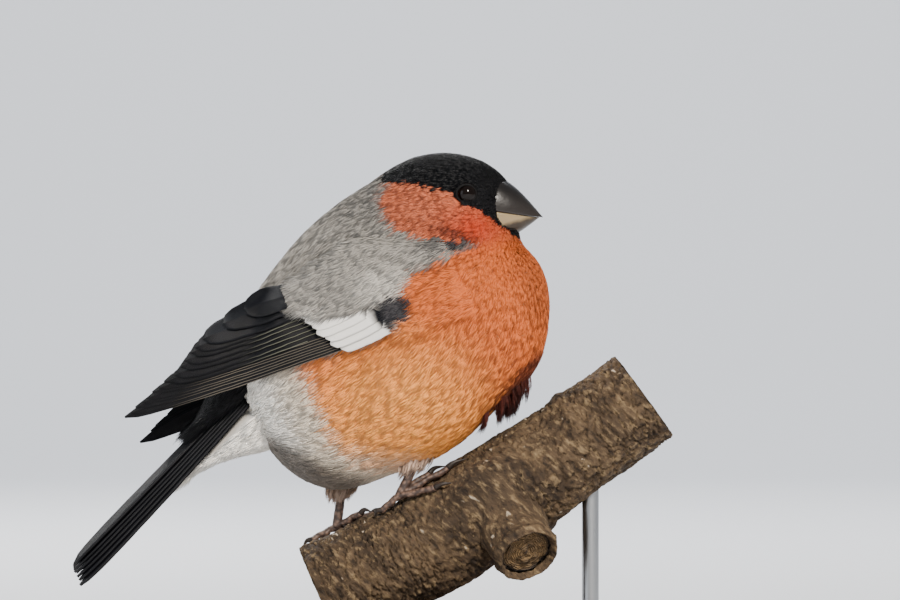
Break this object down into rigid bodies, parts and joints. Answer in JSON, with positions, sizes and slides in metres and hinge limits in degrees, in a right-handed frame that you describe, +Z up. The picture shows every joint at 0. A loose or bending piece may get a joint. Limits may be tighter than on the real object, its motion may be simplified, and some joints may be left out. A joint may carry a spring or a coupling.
{
  "type": "bullfinch model",
  "caption": "Life-size male bullfinch, fluffed up and at rest on a short cut branch, held over a flat base by short rods.",
  "frame": {"origin": "middle of the stand base's underside, which is the floor", "axes": "+Z up, +X the way the bird faces, +Y towards its left side"},
  "size_m": [0.1561, 0.078, 0.1344],
  "materials": {
    "cap_feathers": "glossy black cap, face and bib feathers",
    "breast_feathers": "soft orange-red breast fading to a pale belly, grey on the back",
    "flight_feathers": "blue-black flight, tail and covert feathers with a soft gloss",
    "white_feathers": "soft white vent and undertail feathers",
    "bill_horn": "smooth dark grey horn",
    "eye_gloss": "polished near-black eye",
    "leg_scales": "dark brown-grey scaled skin",
    "bark": "rough brown-grey bark with a cut stub",
    "stand_wood": "dark satin wood",
    "stand_steel": "satin steel rod"
  },
  "bodies": {
    "root": {"head": "cap_feathers", "neck": "breast_feathers", "torso": "breast_feathers", "bill_upper": "bill_horn", "bill_lower": "bill_horn", "eye_right": "eye_gloss", "eye_left": "eye_gloss", "wing_right": "flight_feathers", "wing_left": "flight_feathers", "leg_right": "leg_scales", "leg_left": "leg_scales", "tail": "flight_feathers", "uppertail_coverts": "flight_feathers", "undertail_coverts": "white_feathers", "perch": "bark", "stand_base": "stand_wood", "stand_rod_rear": "stand_steel", "stand_rod_front": "stand_steel"}
  },
  "joints": []
}
